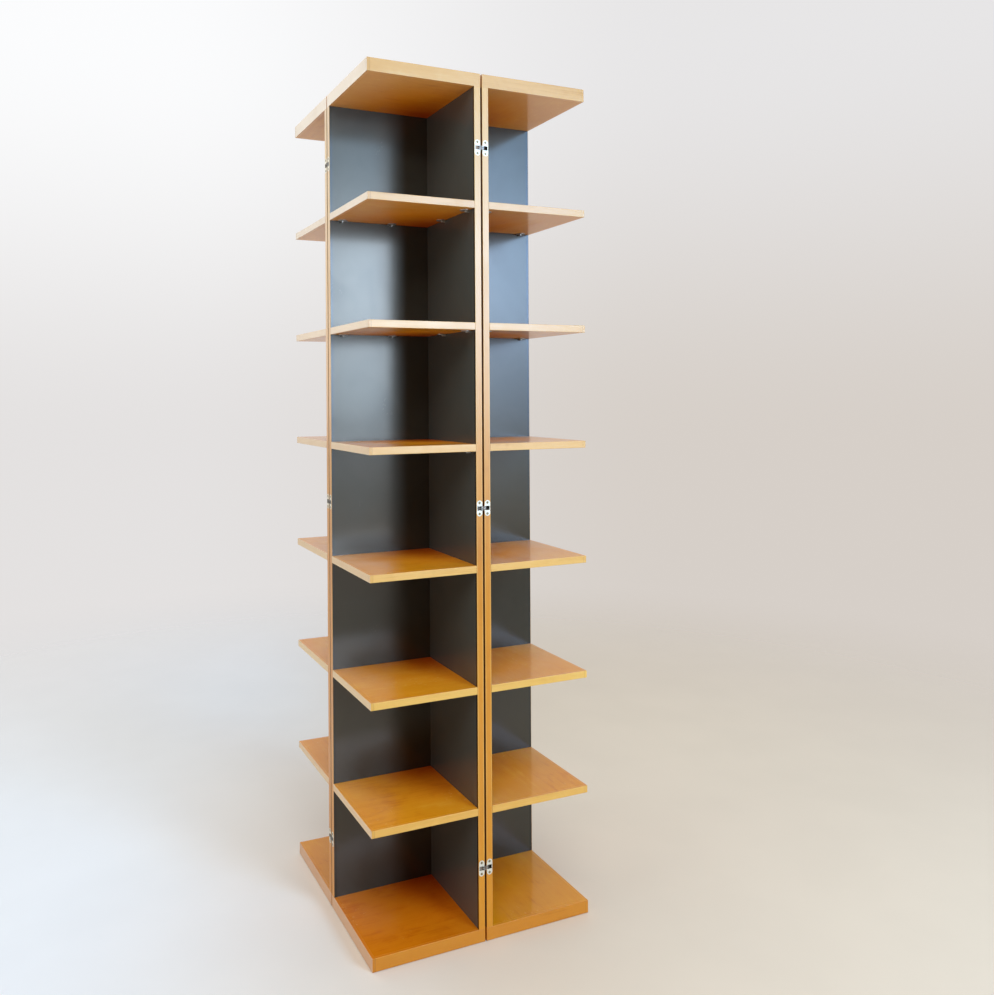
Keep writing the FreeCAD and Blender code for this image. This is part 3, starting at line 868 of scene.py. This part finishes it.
def plate_material(unit, finishes):
    """Nickel hinge leaves with duller screw heads and dirt in the recesses."""
    material, tree = new_material(unit + "_hinge_plate_nickel")
    position = unit_place(tree, unit)
    metal = plated_metal(position, **metal_look(finishes, "plate"))
    screws = screw_heads(position)
    headed = blend(screws["Head"], metal["Color"], finishes.screw_colour)
    return surfaced(material, principled(tree, {
        # Dark colour in the recesses and round the screw heads
        "Base Color": blend(screws["Grime"], headed, finishes.grime),
        "Roughness": metal["Roughness"] + screws["Grime"] * 0.3,
        "Normal": relief(metal["Height"], METAL_RELIEF), "Metallic": finishes.plate_metal,
    }))


def dress(unit, material, *parts):
    """Gives CAD nodes of a unit their finish."""
    for part in parts:
        node_name = unit + "_" + part
        if node_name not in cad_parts:
            raise RuntimeError("The packed model has no node named " + node_name)
        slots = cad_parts[node_name].data.materials
        if len(slots) == 0:
            slots.append(material)
        for index in range(len(slots)):
            slots[index] = material


# Surfaces

def ring_faces(count, segments):
    """Four-sided faces between rings of points, and one ring's points with those that come after them."""
    ring = np.arange(count - 1)[:, None] * segments
    here = np.arange(segments)
    after = (here + 1) % segments
    quads = np.stack([ring + here, ring + segments + here, ring + segments + after, ring + after], axis=2)
    return quads.reshape(-1, 4), here, after


def turned_surface(radii, heights, segments, limit=None):
    """Closed surface round the Z axis: at each angle the outline's radius is swept through the circle.

    The first and last outline points lie on the axis and make the poles. With a limit, the distance
    along +X is held to it: a ring's radius becomes the lesser of its own and limit over the cosine of
    the angle, which cuts a flat side.
    """
    angles = np.arange(segments) * (2 * np.pi / segments)
    rings = np.repeat(radii[1:-1, None], segments, axis=1)
    if limit is not None:
        largest = radii.max()
        facing = np.maximum(np.cos(angles), 1e-6)
        rings = rings * (np.minimum(largest, limit / facing) / largest)
    levels = np.repeat(heights[1:-1, None], segments, axis=1)
    grid = np.stack([rings * np.cos(angles), rings * np.sin(angles), levels], axis=2).reshape(-1, 3)
    points = np.concatenate([grid, [[0.0, 0.0, heights[0]], [0.0, 0.0, heights[-1]]]])

    quads, here, after = ring_faces(len(radii) - 2, segments)
    last_ring = len(grid) - segments
    first_fan = np.stack([np.full(segments, len(grid)), here, after], axis=1)
    last_fan = np.stack([np.full(segments, len(grid) + 1), last_ring + after, last_ring + here], axis=1)
    return points, quads, np.concatenate([first_fan, last_fan])


def disc_outline(radius, thickness, edge, arc_points=6):
    """Outline of a disc from the middle of its top to the middle of its foot.

    Flat, then a quarter round of the edge's radius, the short rim, a second quarter round, and flat.
    """
    arc = np.linspace(0.0, np.pi / 2, arc_points)
    upper_r = radius - edge + edge * np.sin(arc)
    upper_z = -edge + edge * np.cos(arc)
    inner = np.array([0.0, radius * 0.5])
    radii = np.concatenate([inner, upper_r, upper_r[::-1], inner[::-1]])
    heights = np.concatenate([[0.0, 0.0], upper_z, -thickness - upper_z[::-1], [-thickness, -thickness]])
    return radii, heights


def rod_outline(radius, reach, nose, arc_points=5):
    """Outline of a rod along its axis, with a quarter round of the nose's radius at both ends."""
    arc = np.linspace(0.0, np.pi / 2, arc_points)
    start_r = radius - nose + nose * np.sin(arc)
    start_z = nose - nose * np.cos(arc)
    radii = np.concatenate([[0.0], start_r, start_r[::-1], [0.0]])
    heights = np.concatenate([[0.0], start_z, reach - start_z[::-1], [reach]])
    return radii, heights[::-1]


def support_surface(sizes):
    """Disc and wall pin of one support: the wall lies towards +X, the disc's top is at height 0."""
    outline = disc_outline(sizes.disc_radius, sizes.disc_thickness, sizes.disc_edge)
    disc = turned_surface(*outline, sizes.disc_segments, sizes.disc_reach - sizes.wall_clearance)
    outline = rod_outline(sizes.pin_radius, sizes.disc_reach + sizes.pin_insert, sizes.pin_nose)
    points, quads, fans = turned_surface(*outline, sizes.pin_segments)
    # The rod's own axis is laid down along +X, level with the pin's height under the disc
    axis_height = -sizes.disc_thickness - sizes.pin_radius / 2
    laid = np.stack([points[:, 2], points[:, 1], axis_height - points[:, 0]], axis=1)
    return [disc, (laid, quads, fans)]


def turn_about_z(degrees):
    """Matrix of a turn about the Z axis."""
    turn = math.radians(degrees)
    return np.array([[math.cos(turn), -math.sin(turn), 0], [math.sin(turn), math.cos(turn), 0], [0, 0, 1]])


def mesh_object(name, parts):
    """One mesh from several surfaces of points, four-sided faces and three-sided faces."""
    points, loops, sizes = [], [], []
    offset = 0
    for part_points, *kinds in parts:
        points.append(part_points)
        for faces in kinds:
            loops.append((faces + offset).ravel())
            sizes.append(np.full(len(faces), faces.shape[1]))
        offset += len(part_points)
    points, loops, sizes = np.concatenate(points), np.concatenate(loops), np.concatenate(sizes)
    mesh = bpy.data.meshes.new(name)
    mesh.vertices.add(len(points))
    mesh.vertices.foreach_set("co", points.astype(np.float32).ravel())
    mesh.loops.add(len(loops))
    mesh.loops.foreach_set("vertex_index", loops.astype(np.int32))
    mesh.polygons.add(len(sizes))
    mesh.polygons.foreach_set("loop_start", (np.cumsum(sizes) - sizes).astype(np.int32))
    mesh.update(calc_edges=True)
    if mesh.validate():
        raise RuntimeError("The surface of " + name + " has bad faces")
    piece = bpy.data.objects.new(name, mesh)
    bpy.context.scene.collection.objects.link(piece)
    return piece


# Operators

class BOOKCASE_OT_lacquer_panels(bpy.types.Operator):
    """Lacquer the long and the short panel of every unit in charcoal"""

    bl_idname = "bookcase.lacquer_panels"
    bl_label = "Lacquer Panels"

    def execute(self, context):
        for unit in UNIT_TURNS:
            material = panel_material(unit, context.scene.bookcase_finishes)
            dress(unit, material, "long_panel", "short_panel")
        return {"FINISHED"}


class BOOKCASE_OT_veneer_boards(bpy.types.Operator):
    """Veneer the base board, the top board and the shelves of every unit"""

    bl_idname = "bookcase.veneer_boards"
    bl_label = "Veneer Boards"

    def execute(self, context):
        shelves = ["shelf_" + str(number) for number in range(1, SHELF_COUNT + 1)]
        for unit in UNIT_TURNS:
            material = board_material(unit, context.scene.bookcase_finishes)
            dress(unit, material, "base_board", "top_board", *shelves)
        return {"FINISHED"}


class BOOKCASE_OT_edge_lippings(bpy.types.Operator):
    """Finish the solid wood lippings of every unit"""

    bl_idname = "bookcase.edge_lippings"
    bl_label = "Finish Lippings"

    def execute(self, context):
        for unit in UNIT_TURNS:
            dress(unit, lipping_material(unit, context.scene.bookcase_finishes), "edge_lippings")
        return {"FINISHED"}


class BOOKCASE_OT_dowels(bpy.types.Operator):
    """Finish the dowels that hold the boards and panels together"""

    bl_idname = "bookcase.dowels"
    bl_label = "Finish Dowels"

    def execute(self, context):
        material = dowel_material(context.scene.bookcase_finishes)
        for unit in UNIT_TURNS:
            dress(unit, material, "dowels")
        return {"FINISHED"}


class BOOKCASE_OT_shelf_supports(bpy.types.Operator):
    """Make the flat round shelf supports with their wall pins"""

    bl_idname = "bookcase.shelf_supports"
    bl_label = "Make Shelf Supports"

    def execute(self, context):
        sizes = context.scene.bookcase_supports
        look = metal_look(context.scene.bookcase_finishes, "support")
        material = metal_material("support_nickel", look)
        single = support_surface(sizes)
        for unit in UNIT_TURNS:
            parts = []
            for number in range(1, SHELF_COUNT + 1):
                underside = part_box(unit + "_shelf_" + str(number))[0].z
                for from_end in (sizes.from_end, sizes.from_end + sizes.spacing):
                    along = OUTER_FACE + from_end
                    across = PANEL_FACE - sizes.disc_reach
                    parts.extend(self.placed(single, (along, across, underside), 90.0, unit))
                    parts.extend(self.placed(single, (across, along, underside), 0.0, unit))
            piece = mesh_object(unit + "_support_discs", parts)
            piece.data.materials.append(material)
            piece.data.shade_smooth()
            piece.data.set_sharp_from_angle(angle=sizes.smooth_angle)
            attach(piece, unit + "_unit")
            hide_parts(unit + "_shelf_supports")
        return {"FINISHED"}

    @staticmethod
    def placed(surfaces, place, facing, unit):
        """The support turned to face its wall, set in the front unit and turned with its own unit."""
        face, turn = turn_about_z(facing), turn_about_z(UNIT_TURNS[unit])
        return [((points @ face.T + place) @ turn.T, quads, fans) for points, quads, fans in surfaces]


class BOOKCASE_OT_hinges(bpy.types.Operator):
    """Finish the hinge leaves with their screws, and the hinge arms with their pivots"""

    bl_idname = "bookcase.hinges"
    bl_label = "Finish Hinges"

    def execute(self, context):
        finishes = context.scene.bookcase_finishes
        arms = metal_material("hinge_arm_steel", metal_look(finishes, "arm"))
        for unit in UNIT_TURNS:
            dress(unit, plate_material(unit, finishes), "hinge_leaves_and_screws")
            dress(unit, arms, "hinge_arms")
        return {"FINISHED"}


class BOOKCASE_OT_stage(bpy.types.Operator):
    """Set the pale floor, the background, the soft lamps and the camera"""

    bl_idname = "bookcase.stage"
    bl_label = "Set Stage"

    def execute(self, context):
        scene = context.scene
        settings = scene.bookcase_stage
        scene.view_settings.view_transform = "Standard"
        self.lay_floor(settings)
        self.light_world(scene, settings)
        for where, part, tone, (x_low, x_high), (z_low, z_high) in FRONT_LAMPS:
            x, z = (x_low + x_high) / 2, (z_low + z_high) / 2
            place, target = (x, FRONT_LAMP_PLANE, z), (x, 0.0, z)
            size = (x_high - x_low, z_high - z_low)
            self.hang_lamp(where, settings.front_radiance * part, tone, place, target, size)
        for where, setting, part, tone, place, target, size in ROOM_LAMPS:
            self.hang_lamp(where, getattr(settings, setting) * part, tone, place, target, size)
        self.set_camera(scene, scene.bookcase_camera)
        return {"FINISHED"}

    @staticmethod
    def lay_floor(settings):
        """Round floor: rings whose radius grows by the square, so that they are close near the tower."""
        radii = settings.floor_radius * (np.arange(1, FLOOR_RINGS + 1) / FLOOR_RINGS) ** 2
        angles = np.arange(FLOOR_SEGMENTS) * (2 * np.pi / FLOOR_SEGMENTS)
        x = radii[:, None] * np.cos(angles)
        y = radii[:, None] * np.sin(angles)
        grid = np.stack([x, y, np.full_like(x, FLOOR_LEVEL)], axis=2).reshape(-1, 3)
        points = np.concatenate([grid, [[0.0, 0.0, FLOOR_LEVEL]]])
        quads, here, after = ring_faces(FLOOR_RINGS, FLOOR_SEGMENTS)
        fan = np.stack([np.full(FLOOR_SEGMENTS, len(grid)), here, after], axis=1)
        floor = mesh_object("studio_floor", [(points, quads, fan)])

        floor_material, tree = new_material("pale_floor")
        position = object_place(tree)
        # Painted light on the floor to the left, painted shade in front and to the right
        side = remap(vector_math("DOT_PRODUCT", position, ROOM_RIGHT, "Value"), *FLOOR_WARMS)
        base = blend(side, settings.floor_cool, settings.floor_warm)
        scuffed = remap(noise(position, 3.0, 3.0, 0.5), *NOISE_SPREAD, *FLOOR_SCUFFS)
        shader = principled(tree, {
            "Base Color": tinted(base, join(scuffed, scuffed, scuffed)),
            "Roughness": remap(noise(position, 5.0, 3.0, 0.5), *NOISE_SPREAD, *FLOOR_ROUGHNESS),
        })
        away = work_out("ShaderNodeVectorMath", {0: position}, "Value", operation="LENGTH")
        gone = remap(away, settings.floor_fade_start, settings.floor_fade_end)
        clear = Wire(tree, add_node(tree, "ShaderNodeBsdfTransparent").outputs[0])
        faded = work_out("ShaderNodeMixShader", {0: gone, 1: shader, 2: clear})
        floor.data.materials.append(surfaced(floor_material, faded))
        floor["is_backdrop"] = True

    @staticmethod
    def light_world(scene, settings):
        """Pale background for the camera and for gloss, and even light from all round."""
        world = bpy.data.worlds.new("studio_world")
        world.use_nodes = True
        scene.world = world
        tree = world.node_tree
        tree.nodes.clear()
        direction = outputs_of(tree, add_node(tree, "ShaderNodeTexCoord"))["Generated"]
        _, ahead, height = split(direction)
        side = remap(vector_math("DOT_PRODUCT", direction, ROOM_RIGHT, "Value"), *SKY_WARMS)
        level = blend(side, settings.sky_left, settings.sky_right)
        top = blend(side, settings.sky_top_left, settings.sky_top_right)
        shown = blend(remap(height, *SKY_PALES), level, top)
        dimmed = remap(ahead, *FRONT_ENDS, settings.dim_front, 1.0)
        even = remap(height, *LIGHT_GROWS, settings.ambient_low, settings.ambient_high)
        even = even + remap(height, *LIGHT_GROWS_BELOW, 0.0, settings.ambient_below)
        light, mirrored, seen = (
            work_out("ShaderNodeBackground", {"Color": tone, "Strength": strength})
            for tone, strength in (
                (settings.ambient_colour, dimmed * even), (shown, dimmed), (shown, 1.0),
            )
        )
        path = outputs_of(tree, add_node(tree, "ShaderNodeLightPath"))
        glossy = larger(path["Is Glossy Ray"], path["Is Transmission Ray"])
        indirect = work_out("ShaderNodeMixShader", {0: glossy, 1: light, 2: mirrored})
        mixed = work_out("ShaderNodeMixShader", {0: path["Is Camera Ray"], 1: indirect, 2: seen})
        add_node(tree, "ShaderNodeOutputWorld", {"Surface": mixed})

    @staticmethod
    def hang_lamp(where, radiance, tint, place, target, size):
        """Rectangular soft lamp of a given radiance, turned to its target."""
        data = bpy.data.lights.new(where + "_softbox", "AREA")
        data.shape = "RECTANGLE"
        data.size, data.size_y = size
        data.energy = radiance * math.pi * size[0] * size[1]
        data.color = tint
        lamp = bpy.data.objects.new(data.name, data)
        lamp.location = place
        towards = Vector(target) - Vector(place)
        lamp.rotation_euler = towards.to_track_quat("-Z", "Y").to_euler()
        lamp.visible_camera = False
        bpy.context.scene.collection.objects.link(lamp)

    @staticmethod
    def set_camera(scene, settings):
        """Camera from its place, its three turns and a focal length in pixels."""
        yaw, pitch, roll = settings.yaw, settings.pitch, settings.roll
        forward = Vector((math.sin(yaw) * math.cos(pitch), math.cos(yaw) * math.cos(pitch), math.sin(pitch)))
        level = Vector((math.cos(yaw), -math.sin(yaw), 0.0))
        upward = level.cross(forward)
        right = level * math.cos(roll) + upward * math.sin(roll)
        up = -level * math.sin(roll) + upward * math.cos(roll)
        data = bpy.data.cameras.new("photograph_camera")
        long_side = max(IMAGE_WIDTH, IMAGE_HEIGHT)
        data.sensor_fit = "AUTO"
        data.sensor_width = settings.sensor
        data.lens = settings.focal_pixels * data.sensor_width / long_side
        data.shift_x = settings.across_pixels / long_side
        data.shift_y = -settings.down_pixels / long_side
        data.clip_start, data.clip_end = settings.nearest, settings.farthest
        camera = bpy.data.objects.new("photograph_camera", data)
        turn = Matrix((right, up, -forward)).transposed()
        camera.matrix_world = Matrix.Translation(Vector(settings.place)) @ turn.to_4x4()
        scene.collection.objects.link(camera)
        scene.camera = camera


STEPS = (
    BOOKCASE_OT_lacquer_panels,
    BOOKCASE_OT_veneer_boards,
    BOOKCASE_OT_edge_lippings,
    BOOKCASE_OT_dowels,
    BOOKCASE_OT_shelf_supports,
    BOOKCASE_OT_hinges,
    BOOKCASE_OT_stage,
)
SETTINGS = {
    "bookcase_finishes": BookcaseFinishes,
    "bookcase_supports": BookcaseSupports,
    "bookcase_stage": BookcaseStage,
    "bookcase_camera": BookcaseCamera,
}


class BOOKCASE_PT_tower(bpy.types.Panel):
    """Steps and settings of the bookcase tower"""

    bl_idname = "BOOKCASE_PT_tower"
    bl_label = "Bookcase Tower"
    bl_space_type = "VIEW_3D"
    bl_region_type = "UI"
    bl_category = "Bookcase"

    def draw(self, context):
        for step in STEPS:
            self.layout.operator(step.bl_idname)
        for name, cls in SETTINGS.items():
            box = self.layout.box()
            box.label(text=name.removeprefix("bookcase_").capitalize())
            for setting in cls.__annotations__:
                box.prop(getattr(context.scene, name), setting)


CLASSES = (*SETTINGS.values(), *STEPS, BOOKCASE_PT_tower)


def register():
    """Registers the classes and hangs their settings on the scene."""
    for cls in CLASSES:
        bpy.utils.register_class(cls)
    for name, cls in SETTINGS.items():
        setattr(bpy.types.Scene, name, PointerProperty(type=cls))


def unregister():
    """Takes the settings off the scene and removes the classes."""
    for name in SETTINGS:
        delattr(bpy.types.Scene, name)
    for cls in reversed(CLASSES):
        bpy.utils.unregister_class(cls)


def main():
    """Runs every step in order and writes the CAD box and the dressed model's box."""
    cad_low, cad_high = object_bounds()
    register()
    bpy.ops.bookcase.lacquer_panels()
    bpy.ops.bookcase.veneer_boards()
    bpy.ops.bookcase.edge_lippings()
    bpy.ops.bookcase.dowels()
    bpy.ops.bookcase.shelf_supports()
    bpy.ops.bookcase.hinges()
    bpy.ops.bookcase.stage()
    low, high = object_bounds()
    boxes = {
        "cad": [list(cad_low), list(cad_high)],
        "visual": [list(low), list(high)],
    }


if __name__ == "__main__":
    main()
